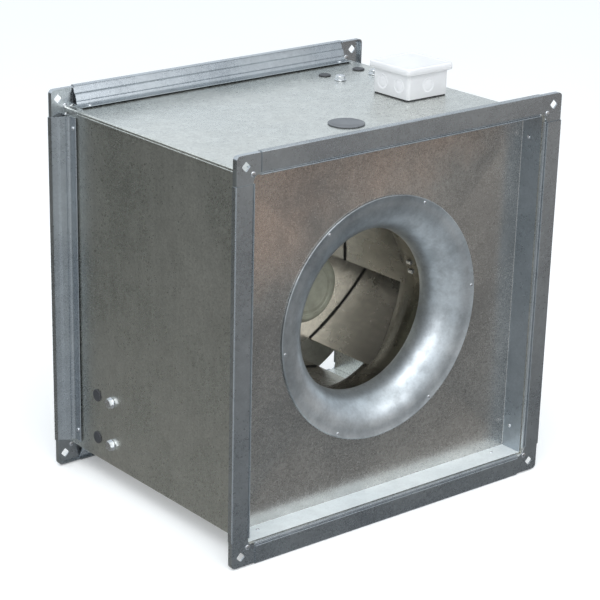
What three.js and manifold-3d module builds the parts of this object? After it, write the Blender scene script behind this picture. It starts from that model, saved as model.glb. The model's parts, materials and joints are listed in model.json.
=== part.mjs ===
// A square in-line duct fan. A folded sheet-steel casing joins two slip-on duct flanges. Inside it, a
// plate carries the spun inlet cone, and two diagonal rails carry an external-rotor motor whose
// backward-curved impeller runs free behind the cone. A junction box with a lift-off lid is on top.
//
// Millimetres. +Y is the way the air goes, +Z is up, and the origin is on the ground under the middle.
// "Depth" is measured along +Y from the inlet face, and "inset" inwards from the flange's outer edge.
import * as THREE from "three";
import { mergeVertices } from "three/addons/utils/BufferGeometryUtils.js";
import Module from "manifold-3d";

const wasm = await Module();
wasm.setup();

// Driving dimensions.
const FLANGE_SIDE = 560;
const LENGTH = 422;
const WALL_INSET = 29;
const SHEET = 1.2;
const GAP = 0.3;
const CORNER_ARM = 40;
const PLATE_DEPTH = 41;
const IMPELLER_RADIUS = 177.5;
const THROAT_RADIUS = 115.5;
const BLADE_COUNT = 6;
const BACK_PLATE_DEPTH = 260;
const ROTOR_FACE_DEPTH = 189;
const RAIL_DEPTH = 282.3;
const BOLT_DEPTH = 316;
const PLUG_DEPTH = 351;

// Sizes that follow from them.
const HALF_SIDE = FLANGE_SIDE / 2;
const WALL_OUT = HALF_SIDE - WALL_INSET;
const WALL_IN = WALL_OUT - SHEET;
const LINING = WALL_IN - GAP;
const QUARTER = Math.PI / 2;
const ROUND_STEPS = 48;

const LOOKS = {
  casing: { color: 0xa3a8a4, roughness: 0.45, metalness: 0.8 },
  flange: { color: 0x85868a, roughness: 0.4, metalness: 0.85 },
  inletPlate: { color: 0x8a8378, roughness: 0.45, metalness: 0.8 },
  inletCone: { color: 0xa9b0b2, roughness: 0.35, metalness: 0.85 },
  impeller: { color: 0x4b463e, roughness: 0.4, metalness: 0.8 },
  rotor: { color: 0x77776a, roughness: 0.5, metalness: 0.6 },
  steel: { color: 0x9a9a9a, roughness: 0.35, metalness: 0.9 },
  rail: { color: 0x9da19f, roughness: 0.45, metalness: 0.8 },
  winding: { color: 0x7a4a2a, roughness: 0.5, metalness: 0.4 },
  motorFlange: { color: 0xb4b6b8, roughness: 0.4, metalness: 0.7 },
  blackPlastic: { color: 0x2c2d30, roughness: 0.55, metalness: 0 },
  whitePlastic: { color: 0xe6e8e6, roughness: 0.4, metalness: 0 },
  terminal: { color: 0xccccc2, roughness: 0.5, metalness: 0 },
};

// The place on the Y axis of a depth behind the inlet face.
function at(depth) {
  return depth - LENGTH / 2;
}

// A closed geometry as a manifold-3d solid.
function toSolid(geometry) {
  const bare = geometry.clone();
  bare.deleteAttribute("normal");
  bare.deleteAttribute("uv");
  const merged = mergeVertices(bare, 1e-4);
  return new wasm.Manifold(
    new wasm.Mesh({
      numProp: 3,
      vertProperties: merged.attributes.position.array,
      triVerts: new Uint32Array(merged.index.array),
    }),
  );
}

function toGeometry(solid) {
  const mesh = solid.getMesh();
  const geometry = new THREE.BufferGeometry();
  geometry.setAttribute("position", new THREE.BufferAttribute(mesh.vertProperties, 3));
  geometry.setIndex(new THREE.BufferAttribute(mesh.triVerts, 1));
  geometry.computeVertexNormals();
  return geometry;
}

function join(...geometries) {
  return toGeometry(geometries.map(toSolid).reduce((whole, next) => whole.add(next)));
}

function cut(geometry, ...tools) {
  return toGeometry(tools.reduce((whole, tool) => whole.subtract(toSolid(tool)), toSolid(geometry)));
}

function common(first, second) {
  return toGeometry(toSolid(first).intersect(toSolid(second)));
}

// A shape drawn across the fan, x to the right and y up, filled from one depth to another.
function across(shape, fromDepth, toDepth, curveSegments = 8) {
  const options = { depth: toDepth - fromDepth, bevelEnabled: false, curveSegments };
  return new THREE.ExtrudeGeometry(shape, options).rotateX(QUARTER).translate(0, at(toDepth), 0);
}

// A shape drawn in plan, filled from one height to another.
function upright(shape, fromZ, toZ, curveSegments = 2) {
  const options = { depth: toZ - fromZ, bevelEnabled: false, curveSegments };
  return new THREE.ExtrudeGeometry(shape, options).translate(0, 0, fromZ);
}

// A profile of [radius, depth] points turned about the fan's axis.
function turned(points, segments = ROUND_STEPS) {
  return new THREE.LatheGeometry(
    points.map(([radius, depth]) => new THREE.Vector2(radius, at(depth))),
    segments,
  );
}

function closed(points) {
  return [...points, points[0]];
}

// Points of an ellipse arc as [radius, depth], with both ends.
function arcPoints(centreRadius, centreDepth, semiRadial, semiAxial, fromAngle, toAngle, steps) {
  return Array.from({ length: steps + 1 }, (_, i) => {
    const angle = fromAngle + ((toAngle - fromAngle) * i) / steps;
    return [centreRadius + semiRadial * Math.cos(angle), centreDepth + semiAxial * Math.sin(angle)];
  });
}

function polygon(points) {
  return new THREE.Shape(points.map(([x, y]) => new THREE.Vector2(x, y)));
}

function rectangle(x0, y0, x1, y1) {
  return polygon([[x0, y0], [x1, y0], [x1, y1], [x0, y1]]);
}

function roundedSquare(centreX, centreY, side, radius) {
  const half = side / 2;
  const inner = half - radius;
  const shape = new THREE.Shape();
  const corners = [[1, -1], [1, 1], [-1, 1], [-1, -1]];
  corners.forEach(([sx, sy], i) => {
    const start = (i - 1) * QUARTER;
    shape.absarc(centreX + sx * inner, centreY + sy * inner, radius, start, start + QUARTER);
  });
  return shape;
}

// A cylinder, or a prism with few sides, along the Z axis.
function post(x, depth, fromZ, toZ, radius, sides = 12) {
  return new THREE.CylinderGeometry(radius, radius, toZ - fromZ, sides)
    .rotateX(QUARTER)
    .translate(x, at(depth), (fromZ + toZ) / 2);
}

// A cylinder along the fan's axis.
function bore(x, z, fromDepth, toDepth, radius, sides = 12) {
  return new THREE.CylinderGeometry(radius, radius, toDepth - fromDepth, sides)
    .translate(x, at((fromDepth + toDepth) / 2), z);
}

// Everything hangs on the fan's axis, half a flange above the ground.
const fan = new THREE.Group();
const axis = new THREE.Group();
axis.position.z = HALF_SIDE;
fan.add(axis);

// A group turned about the axis. With quarter turns it takes the bottom side to the left, top and right.
function turnedGroup(angle, parent = axis) {
  const group = new THREE.Group();
  group.rotation.y = angle;
  parent.add(group);
  return group;
}

function addPiece(name, geometry, look, parent = axis) {
  const mesh = new THREE.Mesh(geometry, new THREE.MeshStandardMaterial(look));
  mesh.name = name;
  parent.add(mesh);
}

// ---- Fixing holes: a bolt and a plugged spare hole at two places on each wall, where a rail ends ----
const SIDES = ["bottom", "left", "top", "right"];
const RAIL_EDGES = [14, 78];
const FIXING_LANES = [21.8, 67.6];
const DRILL_PAST = 5;
const BOLT_RADIUS = 4;
const BOLT_HOLE = 4.5;
const PLUG_HOLE = 7;
const CABLE_PLUG_HOLE = 21;
const CABLE_PLUG_DEPTH = 123;
const BOX_X = 182;
const BOX_DEPTH = 199;
const BOX_CABLE_HOLE = 9;

// Where a line parallel to the diagonal, an offset away from it, meets a lining wall.
function alongWall(offset) {
  return LINING - offset * Math.SQRT2;
}

// Places along a side's wall, in that side's own turned frame.
function fixingPlaces(sideIndex) {
  const sign = sideIndex % 2 ? 1 : -1;
  return FIXING_LANES.map((lane) => sign * alongWall(lane));
}

function wallDrills(sideIndex) {
  const drills = fixingPlaces(sideIndex).flatMap((x) => [
    post(x, BOLT_DEPTH, -WALL_OUT - DRILL_PAST, -WALL_IN + DRILL_PAST, BOLT_HOLE),
    post(x, PLUG_DEPTH, -WALL_OUT - DRILL_PAST, -WALL_IN + DRILL_PAST, PLUG_HOLE),
  ]);
  return drills.map((drill) => drill.rotateY(sideIndex * QUARTER));
}

// ---- Casing: two L-shaped shells, each with a lip folded over the edge of the other ----
const CASING_START = 3.6;
const SEAM_LIP = 8;

function casingShell(sideIndices, turn, extraDrills) {
  const lipOut = WALL_OUT + GAP + SHEET;
  const outline = polygon([
    [-lipOut, WALL_OUT - SEAM_LIP],
    [-lipOut, WALL_OUT - 1.5],
    [-lipOut + 1.5, WALL_OUT],
    [WALL_OUT - 2, WALL_OUT],
    [WALL_OUT - 0.6, WALL_OUT - 0.6],
    [WALL_OUT, WALL_OUT - 2],
    [WALL_OUT, -WALL_IN + GAP],
    [WALL_IN, -WALL_IN + GAP],
    [WALL_IN, WALL_IN],
    [-WALL_OUT - GAP, WALL_IN],
    [-WALL_OUT - GAP, WALL_OUT - SEAM_LIP],
  ]);
  const blank = across(outline, CASING_START, LENGTH - CASING_START).rotateY(turn);
  return cut(blank, ...sideIndices.flatMap(wallDrills), ...extraDrills);
}

function addCasing() {
  const topHoles = [
    post(0, CABLE_PLUG_DEPTH, WALL_IN - DRILL_PAST, WALL_OUT + DRILL_PAST, CABLE_PLUG_HOLE, 32),
    post(BOX_X, BOX_DEPTH, WALL_IN - DRILL_PAST, WALL_OUT + DRILL_PAST, BOX_CABLE_HOLE),
  ];
  addPiece("casing_top_right_shell", casingShell([2, 3], 0, topHoles), LOOKS.casing);
  addPiece("casing_bottom_left_shell", casingShell([0, 1], Math.PI, []), LOOKS.casing);
}

// ---- Duct flanges: four roll-formed slip-on bars and four pressed corners at each end ----
const SIDES_TURNED_ROUND = ["bottom", "right", "top", "left"];
const CORNERS_FROM_INLET = ["bottom_left", "top_left", "top_right", "bottom_right"];
const CORNERS_TURNED_ROUND = ["bottom_right", "top_right", "top_left", "bottom_left"];
const BAR_LENGTH = FLANGE_SIDE - 2 * CORNER_ARM;
const CORNER_EDGE = 1.6;
const CORNER_FACE = 1.2;
const CORNER_THICK = 2;
const CORNER_WIDTH = 27;
const LIP_DEPTH = 9;
const BAR_DEPTH = 31;
const CORNER_HOLE_INSET = 16.3;

// The bar's section as (inset, depth): face, bead over the sheet's edge, leg along the casing, and ribs.
function barSection() {
  const section = polygon([
    [0, 0.6],
    [0.6, 0],
    [25.6, 0],
    [26.3, 1.2],
    [27.3, 1.2],
    [28, 0.2],
    [30.8, 0.2],
    [31.4, 0.9],
    [31.4, 12],
    [30.5, 12],
    [30.5, 2.2],
    [28.7, 2.2],
    [28.7, 25],
    [27, BAR_DEPTH],
    [25.8, BAR_DEPTH],
    [27.5, 25],
    [27.5, 18],
  ]);
  section.quadraticCurveTo(27.5, 9, 19, 6.6);
  const ribs = [[18.2, 5.2], [17.2, 5.2], [16.2, 6.6], [13.4, 6.6], [12.4, 5.2], [11.4, 5.2], [10.4, 6.4]];
  ribs.forEach(([inset, depth]) => section.lineTo(inset, depth));
  section.lineTo(1.2, 6.4);
  section.lineTo(1.2, LIP_DEPTH);
  section.lineTo(0, LIP_DEPTH);
  return section;
}

// The hollow that the rolled sheet encloses, in which the corners' tongues sit.
function barHollow() {
  const hollow = polygon([[19.5, 4.8], [18, 3.9], [10.6, 3.9], [9.6, 5], [2.6, 5], [2.6, 1.3], [25, 1.3]]);
  hollow.lineTo(26.2, 3.2);
  hollow.lineTo(26.2, 14);
  hollow.quadraticCurveTo(25.6, 8.4, 19.5, 4.8);
  return hollow;
}

// A section of (inset, depth) filled along the flange's bottom side.
function alongBottom(section, length) {
  return new THREE.ExtrudeGeometry(section, { depth: length, bevelEnabled: false, curveSegments: 6 })
    .rotateY(-QUARTER)
    .translate(length / 2, at(0), -HALF_SIDE);
}

function barGeometry() {
  return cut(alongBottom(barSection(), BAR_LENGTH), alongBottom(barHollow(), BAR_LENGTH + 2));
}

// A quarter-round corner outline between an outer edge and the arms' ends, drawn from the flange's corner.
function cornerOutline(edge, radius, innerPoints) {
  const armEnd = CORNER_ARM - GAP;
  const shape = new THREE.Shape();
  shape.absarc(edge + radius, edge + radius, radius, Math.PI, 1.5 * Math.PI);
  shape.lineTo(armEnd, edge);
  innerPoints.forEach(([a, b]) => shape.lineTo(a, b));
  shape.lineTo(edge, armEnd);
  return shape;
}

function cornerGeometry() {
  const armEnd = CORNER_ARM - GAP;
  const lipInner = CORNER_EDGE + 1.5;
  const plateShape = cornerOutline(CORNER_EDGE, 6, [[armEnd, CORNER_WIDTH], [CORNER_WIDTH, armEnd]]);
  const lipTurn = lipInner + 4.5;
  const inner = [[armEnd, lipInner], [lipTurn, lipInner], [lipInner, lipTurn], [lipInner, armEnd]];
  const lipShape = cornerOutline(CORNER_EDGE, 6, inner);
  const tongueStart = armEnd - 2;
  const tongueEnd = CORNER_ARM + 20;
  const tongues = [rectangle(tongueStart, 4, tongueEnd, 24), rectangle(4, tongueStart, 24, tongueEnd)];
  const backFace = CORNER_FACE + CORNER_THICK;
  const solid = join(
    across(plateShape, CORNER_FACE, backFace, 2),
    across(lipShape, CORNER_FACE, LIP_DEPTH, 2),
    ...tongues.map((tongue) => across(tongue, 1.7, backFace)),
  );
  const boltHole = bore(CORNER_HOLE_INSET, CORNER_HOLE_INSET, 0, backFace + 2, 6.8, 4);
  const dimple = bore(27.5, 27.5, 0, CORNER_FACE + 0.9, 3, 10);
  return cut(solid, boltHole, dimple).translate(-HALF_SIDE, 0, -HALF_SIDE);
}

function addFlange(end, halfTurn, sideNames, cornerNames) {
  const flange = new THREE.Group();
  flange.rotation.z = halfTurn;
  axis.add(flange);
  for (let i = 0; i < 4; i += 1) {
    const side = turnedGroup(i * QUARTER, flange);
    addPiece(`${end}_flange_bar_${sideNames[i]}`, barGeometry(), LOOKS.flange, side);
    addPiece(`${end}_flange_corner_${cornerNames[i]}`, cornerGeometry(), LOOKS.flange, side);
  }
}

// ---- Inlet plate: a tray whose rim lines the casing, and the spun cone riveted on it ----
const PLATE_RIM_START = 14;
const CONE_SHEET = 1.5;
const CONE_RIM_RADIUS = 171;
const CONE_BEND_RADIUS = 161;
const CONE_THROAT_DEPTH = 86;

function inletPlateGeometry() {
  const plate = rectangle(-LINING, -LINING, LINING, LINING);
  const opening = new THREE.Path();
  opening.absarc(0, 0, CONE_BEND_RADIUS - 2, 0, 2 * Math.PI);
  plate.holes.push(opening);
  const rim = rectangle(-LINING, -LINING, LINING, LINING);
  const rimInner = LINING - SHEET;
  rim.holes.push(rectangle(-rimInner, -rimInner, rimInner, rimInner));
  return join(
    across(plate, PLATE_DEPTH, PLATE_DEPTH + SHEET, 24),
    across(rim, PLATE_RIM_START, PLATE_DEPTH + SHEET),
  );
}

function inletConeGeometry() {
  const front = PLATE_DEPTH - GAP - CONE_SHEET;
  const radial = CONE_BEND_RADIUS - THROAT_RADIUS;
  const axial = CONE_THROAT_DEPTH - front;
  const bend = (thinner) =>
    arcPoints(
      CONE_BEND_RADIUS,
      CONE_THROAT_DEPTH,
      radial - thinner,
      axial - thinner,
      -QUARTER,
      -2 * QUARTER,
      7,
    );
  return turned(
    closed([
      [CONE_RIM_RADIUS, front + CONE_SHEET],
      [CONE_RIM_RADIUS, front - 1],
      [CONE_RIM_RADIUS - 1.2, front - 1],
      [CONE_RIM_RADIUS - 2, front],
      ...bend(0),
      [THROAT_RADIUS, CONE_THROAT_DEPTH + 4],
      [THROAT_RADIUS + CONE_SHEET, CONE_THROAT_DEPTH + 4],
      ...bend(CONE_SHEET).reverse(),
    ]).reverse(),
  );
}

// ---- Impeller: back plate, blades and a shroud that turns the air outwards ----
const SHROUD_INLET_RADIUS = THROAT_RADIUS + 4;
const SHROUD_START = 82;
const SHROUD_BEND_DEPTH = 98;
const SHROUD_BEND = 90;
const SHROUD_SHEET = 1.5;
const BACK_PLATE_THICK = 2;
const BACK_PLATE_HOLE = 53.5;
const BLADE_THICK = 2;
const BLADE_START = { radius: 126, angle: THREE.MathUtils.degToRad(-60.4) };
const BLADE_END = { radius: IMPELLER_RADIUS, angle: THREE.MathUtils.degToRad(-2.9) };
const BLADE_CURVE = 400;

// The shroud's bend, pushed off its air side by an offset, from its throat out to the impeller's edge.
function shroudBend(offset, steps) {
  const bendRadius = SHROUD_BEND - offset;
  const centreRadius = SHROUD_INLET_RADIUS + SHROUD_BEND;
  const sweep = Math.acos((centreRadius - IMPELLER_RADIUS) / bendRadius);
  return arcPoints(
    centreRadius,
    SHROUD_BEND_DEPTH,
    bendRadius,
    bendRadius,
    Math.PI,
    Math.PI - sweep,
    steps,
  );
}

function shroudGeometry() {
  return turned(
    closed([
      [SHROUD_INLET_RADIUS + SHROUD_SHEET, SHROUD_START],
      ...shroudBend(SHROUD_SHEET, 6),
      ...shroudBend(0, 6).reverse(),
      [SHROUD_INLET_RADIUS, SHROUD_START],
    ]),
  );
}

function backPlateGeometry() {
  const front = BACK_PLATE_DEPTH;
  const back = BACK_PLATE_DEPTH + BACK_PLATE_THICK;
  return turned(
    closed([
      [BACK_PLATE_HOLE, front],
      [IMPELLER_RADIUS, front],
      [IMPELLER_RADIUS, back],
      [BACK_PLATE_HOLE, back],
    ]),
  );
}

// A constant-curvature sheet blade, cut to the space between the shroud and the back plate.
function bladeGeometry() {
  const [start, end] = [BLADE_START, BLADE_END].map(
    ({ radius, angle }) => new THREE.Vector2(radius * Math.cos(angle), radius * Math.sin(angle)),
  );
  const chord = end.clone().sub(start);
  const height = Math.sqrt(BLADE_CURVE ** 2 - (chord.length() / 2) ** 2);
  const centre = start.clone().add(end).multiplyScalar(0.5);
  centre.add(new THREE.Vector2(-chord.y, chord.x).setLength(height));
  const fromAngle = start.clone().sub(centre).angle();
  const pastTip = 0.01;
  const toAngle = end.clone().sub(centre).angle() + pastTip;
  const section = new THREE.Shape();
  section.absarc(centre.x, centre.y, BLADE_CURVE + BLADE_THICK / 2, fromAngle, toAngle, false);
  section.absarc(centre.x, centre.y, BLADE_CURVE - BLADE_THICK / 2, toAngle, fromAngle, true);
  const rear = BACK_PLATE_DEPTH - GAP;
  const passage = turned(
    closed([
      [SHROUD_INLET_RADIUS - 10, SHROUD_BEND_DEPTH],
      ...shroudBend(-GAP, 6),
      [IMPELLER_RADIUS, rear],
      [SHROUD_INLET_RADIUS - 10, rear],
    ]),
  );
  return common(across(section, SHROUD_BEND_DEPTH + 1, rear + 5, 4), passage);
}

function addImpeller() {
  addPiece("impeller_shroud", shroudGeometry(), LOOKS.impeller);
  addPiece("impeller_back_plate", backPlateGeometry(), LOOKS.impeller);
  for (let i = 0; i < BLADE_COUNT; i += 1) {
    const place = turnedGroup((2 * Math.PI * i) / BLADE_COUNT);
    addPiece(`impeller_blade_${i + 1}`, bladeGeometry(), LOOKS.impeller, place);
  }
}

// ---- External-rotor motor: the can and shaft turn round the fixed stator, tube and flange ----
const ROTOR_RADIUS = 52;
const ROTOR_WALL = 4;
const ROTOR_CORNER = 11;
const ROTOR_FACE_RADIUS = 37;
const ROTOR_FLANGE = { radius: 70, thick: 3 };
const ROTOR_BOSS = { radius: 14, length: 6 };
const ROTOR_END_DEPTH = 270;
const SHAFT_RADIUS = 6;
const BEARING_RADIUS = 16;
const BEARING_WIDTH = 10;
const BEARING_DEPTHS = [204, 262];
const TUBE_RADIUS = 20;
const TUBE_START_DEPTH = 203;
const STATOR_CORE = { radius: 46.5, start: 214, end: 250 };
const WINDING = { inner: 28, outer: 42, bevel: 2, head: 9 };
const MOTOR_FLANGE_RADIUS = 58;
const MOTOR_FLANGE_DEPTH = 272;
const MOTOR_SCREW_CIRCLE = 45;
const MOTOR_SCREW = { radius: 3, hole: 3.4, headRadius: 5.6, headHeight: 4 };

function rotorGeometry() {
  const face = ROTOR_FACE_DEPTH;
  const inside = face + ROTOR_WALL + 1;
  const cavity = ROTOR_RADIUS - ROTOR_WALL;
  const seat = BACK_PLATE_DEPTH + BACK_PLATE_THICK + GAP;
  const flangeBack = seat + ROTOR_FLANGE.thick;
  const bossEnd = inside + ROTOR_BOSS.length;
  return turned(
    [
      [0, face + 1],
      [ROTOR_FACE_RADIUS, face + 1],
      [ROTOR_FACE_RADIUS + 1.5, face],
      ...arcPoints(
        ROTOR_RADIUS - ROTOR_CORNER,
        face + ROTOR_CORNER,
        ROTOR_CORNER,
        ROTOR_CORNER,
        -QUARTER,
        0,
        4,
      ),
      [ROTOR_RADIUS, seat],
      [ROTOR_FLANGE.radius, seat],
      [ROTOR_FLANGE.radius, flangeBack],
      [ROTOR_RADIUS, flangeBack],
      [ROTOR_RADIUS, ROTOR_END_DEPTH],
      [cavity, ROTOR_END_DEPTH],
      [cavity, inside],
      [ROTOR_BOSS.radius, inside],
      [ROTOR_BOSS.radius, bossEnd],
      [SHAFT_RADIUS + GAP, bossEnd],
      [SHAFT_RADIUS + GAP, inside],
      [0, inside],
    ],
    36,
  );
}

function shaftGeometry() {
  const start = ROTOR_FACE_DEPTH + ROTOR_WALL + 1 + GAP;
  const end = MOTOR_FLANGE_DEPTH + 3;
  return turned([[0, start], [SHAFT_RADIUS, start], [SHAFT_RADIUS, end], [0, end]], 16);
}

function bearingGeometry(start) {
  const end = start + BEARING_WIDTH;
  const inner = SHAFT_RADIUS + GAP;
  const shields = [9.3, 13];
  return turned(
    closed([
      [inner, start],
      [shields[0], start],
      [shields[0], start + 0.8],
      [shields[1], start + 0.8],
      [shields[1], start],
      [BEARING_RADIUS, start],
      [BEARING_RADIUS, end],
      [inner, end],
    ]),
    18,
  );
}

// Laminations with the heads of the windings standing out of both ends.
function statorGeometry() {
  const bore = TUBE_RADIUS + GAP;
  const { radius, start, end } = STATOR_CORE;
  const { inner, outer, bevel, head } = WINDING;
  return turned(
    closed([
      [bore, start],
      [inner, start],
      [inner + bevel, start - head],
      [outer - bevel, start - head],
      [outer, start],
      [radius, start],
      [radius, end],
      [outer, end],
      [outer - bevel, end + head],
      [inner + bevel, end + head],
      [inner, end],
      [bore, end],
    ]),
    24,
  );
}

// Four places on the motor flange's bolt circle, level with and above the axis.
function motorScrewPlaces() {
  return [0, 1, 2, 3].map((i) => [
    MOTOR_SCREW_CIRCLE * Math.cos(i * QUARTER),
    MOTOR_SCREW_CIRCLE * Math.sin(i * QUARTER),
  ]);
}

function motorFlangeGeometry() {
  const front = MOTOR_FLANGE_DEPTH;
  const back = RAIL_DEPTH - GAP;
  const bearingSeat = BEARING_RADIUS + GAP;
  const blank = turned(
    [
      [0, front + 4],
      [bearingSeat, front + 4],
      [bearingSeat, TUBE_START_DEPTH],
      [TUBE_RADIUS, TUBE_START_DEPTH],
      [TUBE_RADIUS, front],
      [MOTOR_FLANGE_RADIUS - 2, front],
      [MOTOR_FLANGE_RADIUS, front + 2],
      [MOTOR_FLANGE_RADIUS, back],
      [0, back],
    ],
    32,
  );
  const holes = motorScrewPlaces().map(([x, z]) => bore(x, z, front + 3, back + 2, MOTOR_SCREW.hole));
  return cut(blank, ...holes);
}

function motorScrewGeometry(x, z) {
  const underHead = RAIL_DEPTH + RAIL_SHEET + GAP;
  return join(
    bore(x, z, MOTOR_FLANGE_DEPTH + 3.5, underHead + 1, MOTOR_SCREW.radius),
    bore(x, z, underHead, underHead + MOTOR_SCREW.headHeight, MOTOR_SCREW.headRadius, 6),
  );
}

function addMotor() {
  addPiece("motor_rotor_can", rotorGeometry(), LOOKS.rotor);
  addPiece("motor_shaft", shaftGeometry(), LOOKS.steel);
  addPiece("motor_bearing_front", bearingGeometry(BEARING_DEPTHS[0]), LOOKS.steel);
  addPiece("motor_bearing_rear", bearingGeometry(BEARING_DEPTHS[1]), LOOKS.steel);
  addPiece("motor_stator", statorGeometry(), LOOKS.winding);
  addPiece("motor_flange", motorFlangeGeometry(), LOOKS.motorFlange);
  motorScrewPlaces().forEach(([x, z], i) => {
    addPiece(`motor_screw_${i + 1}`, motorScrewGeometry(x, z), LOOKS.steel);
  });
}

// ---- Motor rails: two channels along the diagonal, with end tabs bolted to the walls ----
const RAIL_SHEET = 2;
const RAIL_LEG = 16;
const RAIL_TAB = 47.7;
const WASHER = { radius: 8.5, thick: 1.6 };
const HEXAGON_RADIUS = 7.5;
const BOLT_HEAD_HEIGHT = 5.3;
const NUT_HEIGHT = 6.5;
const THREAD_PAST_NUT = 2.5;
const PLUG_CAP = 1.8;
const PLUG_LENGTH = 6.5;

// A band along the diagonal between two offsets from it, ending on the left and top walls.
function diagonalBand(near, far) {
  return polygon([
    [-LINING, -alongWall(near)],
    [alongWall(near), LINING],
    [alongWall(far), LINING],
    [-LINING, -alongWall(far)],
  ]);
}

function railGeometry() {
  const [near, far] = RAIL_EDGES;
  const webBack = RAIL_DEPTH + RAIL_SHEET;
  const [farPlace, nearPlace] = [alongWall(near), alongWall(far)];
  const wallInner = LINING - RAIL_SHEET;
  const tabBack = RAIL_DEPTH + RAIL_TAB;
  const blank = join(
    across(diagonalBand(near, far), RAIL_DEPTH, webBack),
    across(diagonalBand(near, near + RAIL_SHEET), RAIL_DEPTH, webBack + RAIL_LEG),
    across(diagonalBand(far - RAIL_SHEET, far), RAIL_DEPTH, webBack + RAIL_LEG),
    across(rectangle(-LINING, -farPlace, -wallInner, -nearPlace), RAIL_DEPTH, tabBack),
    across(rectangle(nearPlace, wallInner, farPlace, LINING), RAIL_DEPTH, tabBack),
  );
  const screwHoles = [[-MOTOR_SCREW_CIRCLE, 0], [0, MOTOR_SCREW_CIRCLE]];
  return cut(
    blank,
    ...wallDrills(1),
    ...wallDrills(2),
    ...screwHoles.map(([x, z]) => bore(x, z, RAIL_DEPTH - 1, webBack + 1, MOTOR_SCREW.hole)),
  );
}

// A hexagon bolt with its washer outside the wall and its nut inside the rail's tab.
function railBoltGeometry(x) {
  const outside = -WALL_OUT - GAP;
  const inside = -LINING + RAIL_SHEET + GAP;
  const underHead = outside - WASHER.thick;
  return join(
    post(x, BOLT_DEPTH, underHead, outside, WASHER.radius, 16),
    post(x, BOLT_DEPTH, underHead - BOLT_HEAD_HEIGHT, underHead + 0.1, HEXAGON_RADIUS, 6),
    post(x, BOLT_DEPTH, underHead - 0.4, inside + NUT_HEIGHT + THREAD_PAST_NUT, BOLT_RADIUS),
    post(x, BOLT_DEPTH, inside, inside + NUT_HEIGHT, HEXAGON_RADIUS, 6),
  );
}

// A snap-in plug turned about an upright axis, given as [radius, height] from the tip of its cap.
function plugGeometry(x, depth, capRadius, stemRadius) {
  const profile = [
    [0, 0],
    [capRadius - 1.2, 0],
    [capRadius, 1],
    [capRadius, PLUG_CAP],
    [stemRadius, PLUG_CAP],
    [stemRadius - 0.8, PLUG_LENGTH],
    [0, PLUG_LENGTH],
  ];
  const points = profile.map(([radius, height]) => new THREE.Vector2(radius, height));
  return new THREE.LatheGeometry(points, capRadius > 15 ? 28 : 14)
    .rotateX(QUARTER)
    .translate(x, at(depth), -WALL_OUT - GAP - PLUG_CAP);
}

function addRailsAndFixings() {
  addPiece("motor_rail_upper", railGeometry(), LOOKS.rail, turnedGroup(0));
  addPiece("motor_rail_lower", railGeometry(), LOOKS.rail, turnedGroup(Math.PI));
  SIDES.forEach((sideName, sideIndex) => {
    const side = turnedGroup(sideIndex * QUARTER);
    fixingPlaces(sideIndex).forEach((x, i) => {
      addPiece(`rail_bolt_${sideName}_${i + 1}`, railBoltGeometry(x), LOOKS.steel, side);
      const plug = plugGeometry(x, PLUG_DEPTH, 9, PLUG_HOLE - GAP);
      addPiece(`hole_plug_${sideName}_${i + 1}`, plug, LOOKS.blackPlastic, side);
    });
  });
  const cablePlug = plugGeometry(0, CABLE_PLUG_DEPTH, 25, CABLE_PLUG_HOLE - GAP);
  addPiece("cable_hole_plug", cablePlug, LOOKS.blackPlastic, turnedGroup(Math.PI));
}

// ---- Junction box: base with knockouts, terminal block, and a lid that lifts straight off ----
const BOX_SIDE = 74;
const BOX_WALL = 2;
const BOX_HEIGHT = 36.5;
const BOX_BOTTOM = WALL_OUT + GAP;
const COLLAR_SIDE = 80;
const COLLAR_HEIGHT = 3;
const LID_SIDE = 85;
const LID_HEIGHT = 9.7;
const KNOCKOUT_RADIUS = 10.5;
const TERMINAL_POLES = 5;
const TERMINAL_PITCH = 8;
const TERMINAL_OFFSET = 20;

function boxSquare(side, radius) {
  return roundedSquare(BOX_X, at(BOX_DEPTH), side, radius);
}

// A knockout ring standing on one wall of the base, at a place along that wall.
function knockout(turn, along) {
  const disc = new THREE.CylinderGeometry(KNOCKOUT_RADIUS, KNOCKOUT_RADIUS + 0.6, 1.6, 16);
  const dish = new THREE.CylinderGeometry(KNOCKOUT_RADIUS - 2.5, KNOCKOUT_RADIUS - 2.5, 1, 16);
  dish.translate(0, 0.7, 0);
  const ring = cut(disc, dish);
  return ring
    .translate(along, BOX_SIDE / 2, BOX_BOTTOM + BOX_HEIGHT / 2 - 1)
    .rotateZ(turn)
    .translate(BOX_X, at(BOX_DEPTH), 0);
}

function boxBaseGeometry() {
  const floor = BOX_BOTTOM + BOX_WALL;
  const rim = BOX_BOTTOM + BOX_HEIGHT;
  const inside = BOX_SIDE - 2 * BOX_WALL;
  const knockouts = [
    [QUARTER, 17],
    [QUARTER, -17],
    [-QUARTER, 17],
    [-QUARTER, -17],
    [0, 0],
    [2 * QUARTER, 0],
  ];
  const outside = join(
    upright(boxSquare(BOX_SIDE, 5), BOX_BOTTOM, rim),
    upright(boxSquare(COLLAR_SIDE, 6), rim - 0.5, rim + COLLAR_HEIGHT),
    ...knockouts.map(([turn, along]) => knockout(turn, along)),
  );
  return cut(
    outside,
    upright(boxSquare(inside, 3), floor, rim + COLLAR_HEIGHT + 1),
    post(BOX_X, BOX_DEPTH, BOX_BOTTOM - 1, floor + 1, BOX_CABLE_HOLE),
  );
}

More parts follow.
